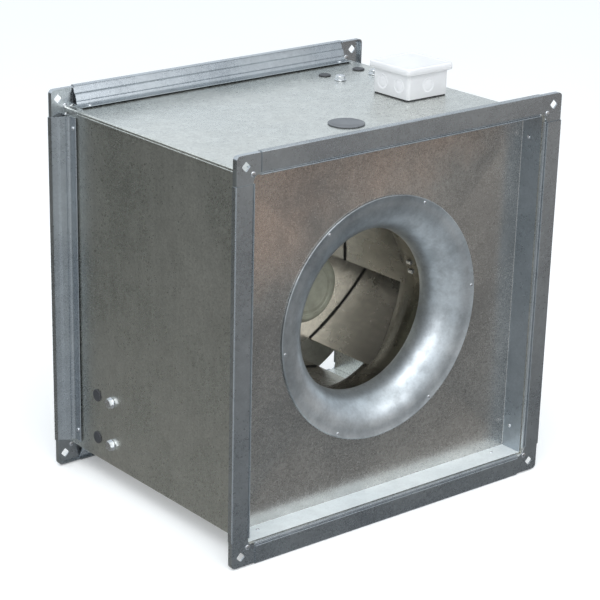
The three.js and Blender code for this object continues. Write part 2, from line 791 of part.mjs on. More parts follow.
function boxLidGeometry() {
  const underside = BOX_BOTTOM + BOX_HEIGHT + 0.5;
  const top = underside + LID_HEIGHT;
  const ceiling = top - 2.5;
  const ribSide = BOX_SIDE - 2 * BOX_WALL - 1;
  const shell = cut(
    join(
      upright(boxSquare(LID_SIDE, 6), underside, top - 1.5),
      upright(boxSquare(LID_SIDE - 2, 5), top - 1.6, top),
    ),
    upright(boxSquare(COLLAR_SIDE + 1, 4), underside - 1, ceiling),
  );
  const rib = cut(
    upright(boxSquare(ribSide, 2.5), underside - 4, ceiling + 0.5),
    upright(boxSquare(ribSide - 3, 1.5), underside - 5, ceiling),
  );
  return join(shell, rib);
}

function terminalBlockGeometry() {
  const floor = BOX_BOTTOM + BOX_WALL + GAP;
  const middle = at(BOX_DEPTH) + TERMINAL_OFFSET;
  const half = (TERMINAL_POLES * TERMINAL_PITCH) / 2;
  const body = upright(rectangle(BOX_X - half, middle - 6, BOX_X + half, middle + 6), floor, floor + 9);
  const ridge = upright(rectangle(BOX_X - half, middle - 3.5, BOX_X + half, middle + 3.5), floor, floor + 15);
  const screwHoles = Array.from({ length: TERMINAL_POLES }, (_, i) => {
    const x = BOX_X - half + TERMINAL_PITCH * (i + 0.5);
    return post(x, BOX_DEPTH + TERMINAL_OFFSET, floor + 11, floor + 16, 2, 10);
  });
  return cut(join(body, ridge), ...screwHoles);
}

function addJunctionBox() {
  addPiece("junction_box_base", boxBaseGeometry(), LOOKS.whitePlastic);
  addPiece("junction_box_lid", boxLidGeometry(), LOOKS.whitePlastic);
  addPiece("terminal_block", terminalBlockGeometry(), LOOKS.terminal);
}

addCasing();
addFlange("inlet", 0, SIDES, CORNERS_FROM_INLET);
addFlange("outlet", Math.PI, SIDES_TURNED_ROUND, CORNERS_TURNED_ROUND);
addPiece("inlet_plate", inletPlateGeometry(), LOOKS.inletPlate);
addPiece("inlet_cone", inletConeGeometry(), LOOKS.inletCone);
addImpeller();
addMotor();
addRailsAndFixings();
addJunctionBox();

export default fan;
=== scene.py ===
"""The looks of a square in-line duct fan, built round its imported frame.

Metres, in the frame's own axes. Most shapes are drawn in the fan's own space first: x to the right and
y up from the fan's axis, z the depth behind the inlet face. FAN puts that space into the frame.
"""
import json
from math import acos, atan2, cos, degrees, pi, radians, sin, sqrt

import bmesh
import bpy
from mathutils import Matrix, Vector


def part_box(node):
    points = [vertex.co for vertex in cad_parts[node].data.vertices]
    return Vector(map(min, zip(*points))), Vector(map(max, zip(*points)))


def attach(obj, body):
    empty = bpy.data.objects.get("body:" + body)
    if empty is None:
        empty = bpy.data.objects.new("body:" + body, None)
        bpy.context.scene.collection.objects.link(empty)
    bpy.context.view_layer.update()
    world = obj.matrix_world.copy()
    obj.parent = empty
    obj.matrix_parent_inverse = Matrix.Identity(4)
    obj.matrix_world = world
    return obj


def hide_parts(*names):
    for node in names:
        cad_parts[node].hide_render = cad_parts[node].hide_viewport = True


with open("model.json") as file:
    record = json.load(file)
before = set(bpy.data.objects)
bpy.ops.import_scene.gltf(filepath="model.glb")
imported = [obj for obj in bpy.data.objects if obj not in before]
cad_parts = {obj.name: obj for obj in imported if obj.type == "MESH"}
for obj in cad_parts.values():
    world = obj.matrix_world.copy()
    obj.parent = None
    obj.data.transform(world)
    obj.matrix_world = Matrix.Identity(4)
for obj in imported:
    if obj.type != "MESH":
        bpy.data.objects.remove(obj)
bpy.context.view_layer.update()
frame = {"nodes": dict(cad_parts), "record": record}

QUARTER = pi / 2
SIDES = ["bottom", "left", "top", "right"]


def box_of(*names):
    """The lowest and highest corner round several CAD nodes."""
    boxes = [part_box(name) for name in names]
    low = Vector([min(low[i] for low, _ in boxes) for i in range(3)])
    high = Vector([max(high[i] for _, high in boxes) for i in range(3)])
    return low, high


# ---- Driving sizes, from the frame ----
inlet_low, inlet_high = box_of(*(f"inlet_flange_bar_{side}" for side in SIDES))
_, outlet_high = box_of(*(f"outlet_flange_bar_{side}" for side in SIDES))
_, casing_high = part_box("casing_top_right_shell")
AXIS = (inlet_low + inlet_high) / 2
INLET = inlet_low.y
LENGTH = outlet_high.y - INLET
HALF_SIDE = (inlet_high.x - inlet_low.x) / 2
WALL_OUT = casing_high.x - AXIS.x
SHEET = 0.0012
GAP = 0.0003
LINING = WALL_OUT - SHEET - GAP
CORNER_ARM = 0.040
BAR_LENGTH = 2 * (HALF_SIDE - CORNER_ARM)

FAN = Matrix(((1, 0, 0, AXIS.x), (0, 0, 1, INLET), (0, 1, 0, AXIS.z), (0, 0, 0, 1)))
TURNED_ROUND = Matrix(((-1, 0, 0, 0), (0, 1, 0, 0), (0, 0, -1, LENGTH), (0, 0, 0, 1)))


def quarter_turns(count):
    """Takes the bottom side of the fan's space to the left, the top and the right."""
    return Matrix.Rotation(-count * QUARTER, 4, "Z")


def at(x, y, z):
    return Matrix.Translation((x, y, z))


def tipped(angle):
    """A turn about x. Half a turn points a space's z axis at the inlet."""
    return Matrix.Rotation(angle, 4, "X")


# ---- Shapes ----
def circle(radius, steps, x=0.0, y=0.0, start=0.0):
    angles = [start + 2 * pi * i / steps for i in range(steps)]
    return [(x + radius * cos(a), y + radius * sin(a)) for a in angles]


def square(half, steps):
    """A square met by evenly spaced rays, so that it pairs with a circle of as many steps."""
    points = []
    for x, y in circle(1.0, steps):
        reach = half / max(abs(x), abs(y))
        points.append((x * reach, y * reach))
    return points


def rounded_square(side, radius, steps=7):
    inner = side / 2 - radius
    points = []
    for i in range(4):
        for j in range(steps + 1):
            angle = QUARTER * (i + j / steps)
            centre_x = inner if i in (0, 3) else -inner
            centre_y = inner if i in (0, 1) else -inner
            points.append((centre_x + radius * cos(angle), centre_y + radius * sin(angle)))
    return points


def hexagon(apothem, steps=48):
    """A hexagon met by evenly spaced rays, flat side up and down."""
    points = []
    for x, y in circle(1.0, steps):
        angle = atan2(y, x) % (pi / 3) - pi / 6
        reach = apothem / cos(angle)
        turned = atan2(y, x) + pi / 6
        points.append((reach * cos(turned), reach * sin(turned)))
    return points


def arc(centre_a, centre_b, radius_a, radius_b, start, end, steps):
    """Points of an ellipse's arc, both ends included, from a start to an end angle in degrees."""
    angles = [radians(start + (end - start) * i / steps) for i in range(steps + 1)]
    return [(centre_a + radius_a * cos(t), centre_b + radius_b * sin(t)) for t in angles]


def softened(points, radius, steps=3):
    """A closed outline with every corner rounded, by at most the radius."""
    rounded = []
    for i, corner in enumerate(points):
        here = Vector(corner)
        before = Vector(points[i - 1]) - here
        after = Vector(points[(i + 1) % len(points)]) - here
        reach = min(radius, 0.45 * before.length, 0.45 * after.length)
        first = here + before.normalized() * reach
        last = here + after.normalized() * reach
        for j in range(steps + 1):
            t = j / steps
            rounded.append(tuple((1 - t) ** 2 * first + 2 * t * (1 - t) * here + t * t * last))
    return rounded


def loft(bm, loops, place=FAN, closed=False, capped=False):
    """A skin over (outline, level) pairs whose outlines all have as many points."""
    rows = [[bm.verts.new(place @ Vector((x, y, level))) for x, y in outline] for outline, level in loops]
    pairs = list(zip(rows, rows[1:]))
    if closed:
        pairs.append((rows[-1], rows[0]))
    for lower, upper in pairs:
        for i in range(len(lower)):
            j = (i + 1) % len(lower)
            bm.faces.new((lower[i], lower[j], upper[j], upper[i]))
    if capped:
        bm.faces.new(rows[0])
        bm.faces.new(rows[-1])


def turned(bm, profile, place=FAN, steps=96, closed=True):
    """A profile of (radius, level) turned about its space's z axis. An open profile gets flat ends."""
    loft(bm, [(circle(radius, steps), level) for radius, level in profile], place, closed, not closed)


def slab(bm, outline, low, high, place=FAN, holes=()):
    """A flat plate between two levels, with its outline and holes drawn in x and y."""
    loops = [outline, *holes]
    flat = bmesh.new()
    edges = []
    for loop in loops:
        ring = [flat.verts.new((x, y, 0)) for x, y in loop]
        edges += [flat.edges.new((ring[i - 1], ring[i])) for i in range(len(ring))]
    bmesh.ops.triangle_fill(flat, edges=edges, use_beauty=True)
    flat.verts.index_update()
    triangles = [[vert.index for vert in face.verts] for face in flat.faces]
    points = [vert.co.xy for vert in flat.verts]
    flat.free()
    levels = [[bm.verts.new(place @ Vector((x, y, z))) for x, y in points] for z in (low, high)]
    for triangle in triangles:
        for level in levels:
            bm.faces.new([level[i] for i in triangle])
    start = 0
    for loop in loops:
        for i in range(len(loop)):
            a = start + i
            b = start + (i + 1) % len(loop)
            bm.faces.new((levels[0][a], levels[0][b], levels[1][b], levels[1][a]))
        start += len(loop)


def tube(bm, points, radius, steps=8):
    """A round bead along a line of points in the frame."""
    rows = []
    for i, point in enumerate(points):
        ahead = points[min(i + 1, len(points) - 1)] - points[max(i - 1, 0)]
        turn = ahead.to_track_quat("Z", "Y").to_matrix()
        rows.append([bm.verts.new(point + turn @ Vector((x, y, 0))) for x, y in circle(radius, steps)])
    for lower, upper in zip(rows, rows[1:]):
        for i in range(steps):
            j = (i + 1) % steps
            bm.faces.new((lower[i], lower[j], upper[j], upper[i]))
    bm.faces.new(rows[0])
    bm.faces.new(rows[-1])


def outward(node, side):
    """The space of a fastener in a wall: its origin is on the wall's outside, and z points outwards."""
    low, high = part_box(node)
    centre = (low + high) / 2
    out = FAN.to_3x3() @ (quarter_turns(SIDES.index(side)).to_3x3() @ Vector((0, -1, 0)))
    on_axis = Vector((AXIS.x, centre.y, AXIS.z))
    foot = centre - out * (centre - on_axis).dot(out) + out * (WALL_OUT + GAP)
    along = Vector((0, 1, 0))
    across = along.cross(out)
    turn = Matrix((across, along, out)).transposed().to_4x4()
    return Matrix.Translation(foot) @ turn


def piece(name, bm, look, body, nodes=(), edge=0.0003, sharp=38):
    """Makes the object, softens its edges, hangs it on the body that it rides on, and hides the CAD nodes
    that it stands for.
    """
    bmesh.ops.recalc_face_normals(bm, faces=bm.faces)
    mesh = bpy.data.meshes.new(name)
    bm.to_mesh(mesh)
    bm.free()
    mesh.polygons.foreach_set("use_smooth", [True] * len(mesh.polygons))
    mesh.materials.append(LOOKS[look])
    made = bpy.data.objects.new(name, mesh)
    bpy.context.scene.collection.objects.link(made)
    if edge:
        bevel = made.modifiers.new("edge", "BEVEL")
        bevel.width = edge
        bevel.segments = 2
        bevel.limit_method = "ANGLE"
        bevel.angle_limit = radians(sharp)
        weighted = made.modifiers.new("shading", "WEIGHTED_NORMAL")
        weighted.keep_sharp = True
    else:
        mesh.set_sharp_from_angle(angle=radians(sharp))
    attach(made, body)
    if nodes:
        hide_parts(*nodes)
    return made


# ---- Materials ----
class Graph:
    """A node tree, with short ways to add the nodes that it mixes."""

    def __init__(self, tree, space):
        self.tree = tree
        self.tree.nodes.clear()
        self.place = self.add("ShaderNodeTexCoord").outputs[space]

    def add(self, kind, inputs=(), **settings):
        """A node of a kind, with its settings and then its inputs given."""
        node = self.tree.nodes.new(kind)
        for key, value in settings.items():
            setattr(node, key, value)
        for key, value in dict(inputs).items():
            self.feed(node.inputs[key], value)
        return node

    def feed(self, socket, value):
        """Gives a socket a number, a colour or a vector, or links it to another node's output."""
        if isinstance(value, bpy.types.NodeSocket):
            self.tree.links.new(value, socket)
        elif socket.type == "RGBA":
            socket.default_value = (*value, 1)
        else:
            socket.default_value = value

    def axes(self):
        return self.add("ShaderNodeSeparateXYZ", {"Vector": self.place}).outputs

    def fitted(self, value, from_low, from_high, to_low, to_high, **settings):
        limits = {"From Min": from_low, "From Max": from_high, "To Min": to_low, "To Max": to_high}
        node = self.add("ShaderNodeMapRange", {"Value": value, **limits}, clamp=True, **settings)
        return node.outputs["Result"]

    def maths(self, operation, first, second):
        return self.add("ShaderNodeMath", {0: first, 1: second}, operation=operation).outputs["Value"]

    def times(self, first, second):
        return self.maths("MULTIPLY", first, second)

    def mixed(self, factor, first, second, blend="MIX"):
        inputs = {0: factor, 6: first, 7: second}
        return self.add("ShaderNodeMix", inputs, data_type="RGBA", blend_type=blend).outputs[2]


class Surface(Graph):
    """A material's node graph, with the textures of the fan's sheets and mouldings. Scales are per metre."""

    def __init__(self, name, metallic, roughness):
        self.material = bpy.data.materials.new(name)
        self.material.use_nodes = True
        super().__init__(self.material.node_tree, "Object")
        self.shader = self.add("ShaderNodeBsdfPrincipled", {"Metallic": metallic, "Roughness": roughness})
        self.add("ShaderNodeOutputMaterial", {"Surface": self.shader.outputs["BSDF"]})

    def noise(self, scale, detail=3.0, stretch=(1, 1, 1), roughness=0.55):
        place = self.add("ShaderNodeMapping", {"Vector": self.place, "Scale": stretch}).outputs["Vector"]
        inputs = {"Vector": place, "Scale": scale, "Detail": detail, "Roughness": roughness}
        return self.add("ShaderNodeTexNoise", inputs).outputs["Fac"]

    def crystals(self, scale):
        """A random colour for each crystal of the zinc."""
        return self.add("ShaderNodeTexVoronoi", {"Vector": self.place, "Scale": scale}).outputs["Color"]

    def cells(self, scale):
        """A random value for each crystal of the zinc."""
        return self.add("ShaderNodeSeparateColor", {"Color": self.crystals(scale)}).outputs["Red"]

    def towards_painted_light_corner(self):
        """0 over most of the inlet plate, rising to 1 at its upper left corner: the mask of the painted
        light there.
        """
        axes = self.axes()
        up = self.times(axes["Z"], 1.4)
        across = self.times(axes["X"], 0.5)
        patches = self.times(self.noise(9.0, 3.0), 0.4)
        height = self.maths("ADD", self.maths("SUBTRACT", up, across), patches)
        return self.fitted(height, 0.76, 0.96, 0, 1)

    def toned(self, value, low, high, dark, light):
        """A colour that runs from dark to light as a value goes from low to high."""
        return self.mixed(self.fitted(value, low, high, 0, 1), dark, light)

    def shaded(self, colour, value):
        """A colour made lighter or darker by a value round 1."""
        grey = self.add("ShaderNodeCombineColor", {key: value for key in ("Red", "Green", "Blue")})
        return self.mixed(1.0, colour, grey.outputs["Color"], "MULTIPLY")

    def bump(self, height, strength, distance, inputs=()):
        inputs = {"Height": height, "Strength": strength, "Distance": distance, **dict(inputs)}
        self.feed(self.shader.inputs["Normal"], self.add("ShaderNodeBump", inputs).outputs["Normal"])

    def vectors(self, operation, inputs):
        return self.add("ShaderNodeVectorMath", inputs, operation=operation).outputs["Vector"]

    def tilted(self, scale, amount):
        """The surface's normal, tilted a little in a random direction for each crystal of the zinc."""
        offset = self.vectors("SUBTRACT", {0: self.crystals(scale), 1: (0.5, 0.5, 0.5)})
        scaled = self.vectors("SCALE", {0: offset, "Scale": amount})
        flat = self.add("ShaderNodeNewGeometry").outputs["Normal"]
        return self.vectors("NORMALIZE", {0: self.vectors("ADD", {0: flat, 1: scaled})})

    def colour(self, value):
        self.feed(self.shader.inputs["Base Color"], value)

    def roughness(self, value):
        self.feed(self.shader.inputs["Roughness"], value)


def galvanised(name, light, dark, roughness, spangle, contrast, streaks=0.0, metallic=0.94, painted_light_tint=None):
    """Zinc-coated sheet: crystals, cloudy patches between two tones, fine streaks, a little dirt, and, where
    a tint is given, painted light that lightens and warms the upper left corner.
    """
    surface = Surface(name, metallic, roughness)
    tilt = 0.015
    coarse = surface.times(surface.cells(1 / spangle), 0.5)
    fine = surface.times(surface.cells(2.3 / spangle), 0.5)
    crystals = surface.maths("ADD", coarse, fine)
    clouds = surface.noise(7.0, 4.0)
    dirt = surface.noise(38.0, 5.0, roughness=0.65)
    base = surface.toned(clouds, 0.36, 0.66, dark, light)
    tone = surface.fitted(crystals, 0.1, 0.9, 1 - contrast, 1 + contrast)
    tone = surface.times(tone, surface.fitted(dirt, 0.35, 0.62, 0.93, 1.03))
    if streaks:
        drawn = surface.noise(90.0, 3.0, (1, 1, 0.035))
        tone = surface.times(tone, surface.fitted(drawn, 0.3, 0.7, 1 - streaks, 1 + streaks))
    whole = surface.shaded(base, tone)
    # Painted light: the colour is multiplied by the tint towards the upper left corner.
    if painted_light_tint:
        whole = surface.mixed(surface.towards_painted_light_corner(), whole, surface.mixed(1.0, whole, painted_light_tint, "MULTIPLY"))
    surface.colour(whole)
    crystal_gloss = surface.fitted(crystals, 0, 1, roughness - 0.04, roughness + 0.04)
    surface.roughness(surface.maths("ADD", crystal_gloss, surface.fitted(clouds, 0.3, 0.7, -0.04, 0.04)))
    surface.bump(surface.noise(700.0, 2.0), 0.04, 0.0002, {"Normal": surface.tilted(1.3 / spangle, tilt)})
    return surface.material


def spun_metal(name, light, dark, roughness):
    """Spun sheet: the spinning tool's rings, cloudy smudges, and painted shade that darkens it towards the
    upper left.
    """
    surface = Surface(name, 0.88, roughness)
    clouds = surface.noise(11.0, 5.0, roughness=0.6)
    smudges = surface.noise(30.0, 4.0, roughness=0.7)
    fine = surface.cells(330.0)
    axes = surface.axes()
    # Painted shade: the colour falls to 0.66 of itself towards the upper left, along z minus x.
    across = surface.maths("SUBTRACT", axes["Z"], axes["X"])
    uneven = surface.maths("ADD", across, surface.times(clouds, 0.1))
    upper_left_painted_shade = surface.fitted(uneven, 0.34, 0.46, 1.0, 0.66)
    base = surface.toned(clouds, 0.33, 0.66, dark, light)
    tone = surface.fitted(smudges, 0.36, 0.60, 0.74, 1.05)
    tone = surface.times(tone, surface.fitted(fine, 0, 1, 0.96, 1.04))
    surface.colour(surface.shaded(base, surface.times(tone, upper_left_painted_shade)))
    surface.roughness(surface.fitted(smudges, 0.3, 0.7, roughness + 0.08, roughness - 0.06))
    rings = surface.noise(420.0, 2.0, (0.03, 1, 0.03))
    surface.bump(surface.maths("ADD", rings, smudges), 0.10, 0.00025)
    return surface.material


def rolled_sheet(name, light, dark, roughness, metallic, painted_shade_span=None):
    """Dark rolled steel: heat tones, scuffs, faint rolling lines, and painted shade that darkens it towards
    the inlet.
    """
    surface = Surface(name, metallic, roughness)
    clouds = surface.noise(16.0, 5.0, roughness=0.6)
    scuffs = surface.noise(140.0, 4.0, (1, 0.2, 1), roughness=0.7)
    base = surface.toned(clouds, 0.35, 0.65, dark, light)
    tone = surface.fitted(scuffs, 0.3, 0.7, 0.86, 1.1)
    # Painted shade: the tone falls from 1 to 0.22 of itself between two depths along the frame's y, towards
    # the inlet.
    if painted_shade_span:
        tone = surface.times(tone, surface.fitted(surface.axes()["Y"], *painted_shade_span, 0.22, 1.0))
    surface.colour(surface.shaded(base, tone))
    surface.roughness(surface.fitted(clouds, 0.3, 0.7, roughness - 0.05, roughness + 0.1))
    surface.bump(scuffs, 0.05, 0.0002)
    return surface.material


def plated(name, colour, roughness):
    """Zinc-plated fasteners, with slightly duller patches and tool marks."""
    surface = Surface(name, 0.95, roughness)
    patches = surface.noise(260.0, 3.0)
    worn = tuple(0.8 * channel for channel in colour)
    surface.colour(surface.toned(patches, 0.3, 0.7, worn, colour))
    surface.roughness(surface.fitted(patches, 0.3, 0.7, roughness - 0.06, roughness + 0.12))
    surface.bump(surface.noise(1500.0, 2.0), 0.15, 0.0002)
    return surface.material


def moulded(name, light, dark, roughness, grain=900.0, grain_depth=0.00012):
    """Moulded plastic: a fine eroded grain, a little dust and slow variation in tone."""
    surface = Surface(name, 0.0, roughness)
    dust = surface.noise(24.0, 5.0, roughness=0.65)
    surface.colour(surface.toned(dust, 0.35, 0.65, dark, light))
    surface.roughness(surface.fitted(dust, 0.3, 0.7, roughness - 0.05, roughness + 0.08))
    surface.bump(surface.noise(grain, 3.0), 0.2, grain_depth)
    return surface.material


def coated(name, light, dark, roughness):
    """Sprayed paint on a motor part: orange peel, dull dirt in patches."""
    surface = Surface(name, 0.25, roughness)
    dirt = surface.noise(45.0, 5.0, roughness=0.65)
    surface.colour(surface.toned(dirt, 0.35, 0.62, dark, light))
    surface.roughness(surface.fitted(dirt, 0.3, 0.7, roughness + 0.08, roughness - 0.05))
    surface.bump(surface.noise(420.0, 2.0), 0.2, 0.0003)
    return surface.material


LOOKS = {
    "casing": galvanised(
        "galvanised_casing", (0.69, 0.70, 0.665), (0.63, 0.65, 0.625), 0.29, 0.0032, 0.14, streaks=0.04
    ),
    "flange": galvanised("galvanised_flange", (0.54, 0.575, 0.60), (0.46, 0.495, 0.53), 0.29, 0.0035, 0.06),
    # The inlet plate's upper left corner is lighter and warmer: painted light.
    "inlet_plate": galvanised(
        "galvanised_inlet_plate", (0.64, 0.63, 0.605), (0.57, 0.57, 0.555), 0.26, 0.0026, 0.12,
        painted_light_tint=(1.52, 1.27, 1.15),
    ),
    # Two copies of the inlet plate's sheet, picked by face: darker for the rim's sides (painted shade),
    # lighter and less metallic for faces that look up (painted light).
    "lining": galvanised("galvanised_lining", (0.40, 0.44, 0.48), (0.34, 0.38, 0.42), 0.30, 0.0035, 0.08),
    "lining_floor": galvanised(
        "galvanised_lining_floor", (0.84, 0.89, 0.90), (0.78, 0.84, 0.86), 0.45, 0.0035, 0.05, metallic=0.30
    ),
    # The spun cone darkens towards its upper left: painted shade.
    "inlet_cone": spun_metal("spun_inlet_cone", (0.70, 0.745, 0.775), (0.53, 0.575, 0.61), 0.40),
    # The impeller's sheet is pale by the back plate and dark by the inlet: painted light and shade.
    "impeller": rolled_sheet(
        "rolled_impeller_sheet", (0.86, 0.82, 0.74), (0.70, 0.67, 0.60), 0.24, 0.85, painted_shade_span=(-0.10, -0.015)
    ),
    # The shroud is the same rolled sheet made much darker: painted shade inside its bell mouth.
    "shroud": rolled_sheet("rolled_shroud_sheet_painted_shade", (0.23, 0.22, 0.185), (0.155, 0.15, 0.13), 0.26, 0.95),
    "weld": rolled_sheet("impeller_weld", (0.035, 0.032, 0.028), (0.02, 0.02, 0.018), 0.6, 0.3),
    "rotor": coated("rotor_paint", (0.38, 0.38, 0.30), (0.28, 0.28, 0.22), 0.42),
    "steel": plated("plated_steel", (0.80, 0.82, 0.85), 0.22),
    "winding": coated("winding_varnish", (0.32, 0.13, 0.05), (0.19, 0.07, 0.03), 0.35),
    "motor_flange": spun_metal("cast_motor_flange", (0.62, 0.63, 0.64), (0.45, 0.46, 0.47), 0.45),
    "rail": galvanised("galvanised_rail", (0.64, 0.65, 0.65), (0.52, 0.53, 0.54), 0.36, 0.004, 0.08),
    "black_plastic": moulded("black_plastic", (0.055, 0.057, 0.064), (0.035, 0.037, 0.042), 0.42),
    "grey_plastic": moulded("grey_plastic", (0.16, 0.17, 0.185), (0.12, 0.127, 0.14), 0.40),
    "white_plastic": moulded("white_plastic", (0.80, 0.80, 0.82), (0.75, 0.75, 0.77), 0.38, 1100.0, 0.00008),
    "terminal": moulded("terminal_plastic", (0.72, 0.71, 0.66), (0.62, 0.61, 0.56), 0.45),
    "gasket": moulded("gasket_foam", (0.03, 0.03, 0.032), (0.02, 0.02, 0.022), 0.8, 500.0, 0.0005),
}


def dress_cad_nodes():
    """CAD nodes whose shape is already right take the material of their slot in the record."""
    for entry in frame["record"]["subparts"]:
        node = frame["nodes"][entry["node"]]
        node.data.materials.clear()
        node.data.materials.append(LOOKS[entry["material_slot"]])


# ---- Duct flanges ----
CORNER_EDGE = 0.0016
CORNER_FACE = 0.0012
CORNER_BACK = 0.0032
LIP_DEPTH = 0.009
CORNER_FRAME = at(-HALF_SIDE, -HALF_SIDE, 0)
BAR_FRAME = Matrix(((0, 0, 1, 0), (1, 0, 0, -HALF_SIDE), (0, 1, 0, 0), (0, 0, 0, 1)))


def bar_section():
    """Inset and depth: face, groove, the bead over the sheet's edge, the flared leg, and a sloped back."""
    outer = arc(0.0018, 0.0018, 0.0018, 0.0018, 180, 270, 6)
    groove = [(0.0236, 0.0), (0.0263, 0.0), (0.0267, 0.0030), (0.0283, 0.0030), (0.0288, 0.0018)]
    bead = arc(0.0298, 0.0018, 0.0010, 0.0012, 180, 360, 8) + [(0.0308, 0.0046), (0.0298, 0.0046)]
    slot = [(0.0298, 0.0040), (0.0287, 0.0040)]
    leg = [(0.0287, 0.0248), (0.0272, 0.0306), (0.0264, 0.0310)]
    leg += [(0.0258, 0.0304), (0.0275, 0.0246), (0.0275, 0.0205)]
    sweep = [bezier((0.0275, 0.0205), (0.0275, 0.0142), (0.0245, 0.0136), t / 6) for t in range(1, 6)]
    back = [(0.0245, 0.0136), (0.0222, 0.0128), (0.0212, 0.0134), (0.0128, 0.0106), (0.0110, 0.0080)]
    edge = [(0.0012, 0.0048), (0.0012, LIP_DEPTH), (0, LIP_DEPTH)]
    front = outer + softened(groove, 0.0008)[4:-4] + bead
    return front + slot + leg + sweep + softened(back + edge, 0.0005)[:-4]


def bezier(start, control, end, t):
    return tuple(
        (1 - t) ** 2 * a + 2 * t * (1 - t) * b + t * t * c for a, b, c in zip(start, control, end)
    )


def bar_hollow():
    """The space inside the rolled bar, which holds the corners' tongues."""
    face = [(0.0026, 0.0013), (0.0250, 0.0013), (0.0254, 0.0042), (0.0262, 0.0044)]
    back = [(0.0262, 0.0150), (0.0238, 0.0121), (0.0130, 0.0092), (0.0112, 0.0066), (0.0026, 0.0040)]
    return face + back


def flange_bar(name, place):
    bm = bmesh.new()
    slab(bm, bar_section(), -BAR_LENGTH / 2, BAR_LENGTH / 2, place @ BAR_FRAME, [bar_hollow()])
    piece(f"{name}_rolled", bm, "flange", "casing", [name], 0.00012, 50)


def corner_outline(inner_points):
    radius = 0.006
    end = CORNER_ARM - GAP
    centre = CORNER_EDGE + radius
    outer = arc(centre, centre, radius, radius, 180, 270, 8)
    return [*outer, (end, CORNER_EDGE), *inner_points, (CORNER_EDGE, end)]


def flange_corner(name, place):
    width = 0.027
    end = CORNER_ARM - GAP
    lip = CORNER_EDGE + 0.0015
    bolt = 0.0163
    reach = 0.0070
    bm = bmesh.new()
    where = place @ CORNER_FRAME
    tips = [(bolt + reach, bolt), (bolt, bolt + reach), (bolt - reach, bolt), (bolt, bolt - reach)]
    diamond = softened(tips, 0.0014)
    gusset = [(width + 0.004, width + 0.0035), (width + 0.0035, width + 0.004)]
    plate = corner_outline([(end, width), *gusset, (width, end)])
    slab(bm, plate, CORNER_FACE, CORNER_BACK, where, [diamond])
    rim = corner_outline([(end, lip), (lip + 0.0045, lip), (lip, lip + 0.0045), (lip, end)])
    slab(bm, rim, CORNER_BACK, LIP_DEPTH, where)
    for flip in (False, True):
        tongue = [(end, 0.004), (CORNER_ARM + 0.02, 0.004), (CORNER_ARM + 0.02, 0.024), (end, 0.024)]
        if flip:
            tongue = [(b, a) for a, b in tongue]
        slab(bm, tongue, 0.0017, CORNER_BACK, where)
    piece(f"{name}_pressed", bm, "flange", "casing", [name], 0.0004)


def dome(bm, place, radius, height):
    """A low round head with its foot on the space's origin."""
    profile = [(radius * 0.97, 0), *arc(0, height * 0.3, radius, height * 0.7, 0, 82, 6)]
    turned(bm, profile, place, 20, closed=False)


def flange_fasteners(end, place):
    """Rivets in the gussets of the corners, and screws through the bars' legs near both ends."""
    rivets = bmesh.new()
    screws = bmesh.new()
    rivet_inset = 0.0275
    leg_inset = 0.0275
    leg_middle = 0.0215
    from_end = 0.016
    for i in range(4):
        side = place @ quarter_turns(i)
        for level, facing in ((CORNER_FACE, pi), (CORNER_BACK, 0)):
            spot = at(rivet_inset - HALF_SIDE, rivet_inset - HALF_SIDE, level)
            dome(rivets, side @ spot @ tipped(facing), 0.0036, 0.0011)
        for along in (-1, 1):
            foot = at(along * (BAR_LENGTH / 2 - from_end), leg_inset - HALF_SIDE, leg_middle)
            dome(screws, side @ foot @ tipped(QUARTER), 0.0032, 0.0018)
    piece(f"{end}_flange_rivets", rivets, "steel", "casing", edge=0)
    piece(f"{end}_flange_screws", screws, "steel", "casing", edge=0)


def add_flange(end, place, side_names, corner_names):
    for i in range(4):
        side = place @ quarter_turns(i)
        flange_bar(f"{end}_flange_bar_{side_names[i]}", side)
        flange_corner(f"{end}_flange_corner_{corner_names[i]}", side)
    flange_fasteners(end, place)


# ---- Casing ----
def seam_beads():
    """Two crimped beads along each folded lip of the casing, at its top left and bottom right edges."""
    start = 0.033
    pitch = 0.0045
    radius = 0.0010
    crimp = 0.0004
    count = int((LENGTH - 2 * start) / pitch)
    bm = bmesh.new()
    for sign in (-1, 1):
        for drop in (0.0016, 0.0050):
            points = []
            for i in range(count + 1):
                x = sign * (WALL_OUT + SHEET + 2 * GAP - crimp * (i % 2))
                y = -sign * (WALL_OUT - drop)
                points.append(FAN @ Vector((x, y, start + pitch * i)))
            tube(bm, points, radius, 10)
    piece("casing_seam_beads", bm, "casing", "casing", edge=0)


# ---- Inlet plate and cone ----
RING_STEPS = 160
THROAT_RADIUS = 0.1155
CONE_BEND_RADIUS = 0.161
CONE_THROAT_DEPTH = 0.086
CONE_SHEET = 0.0015


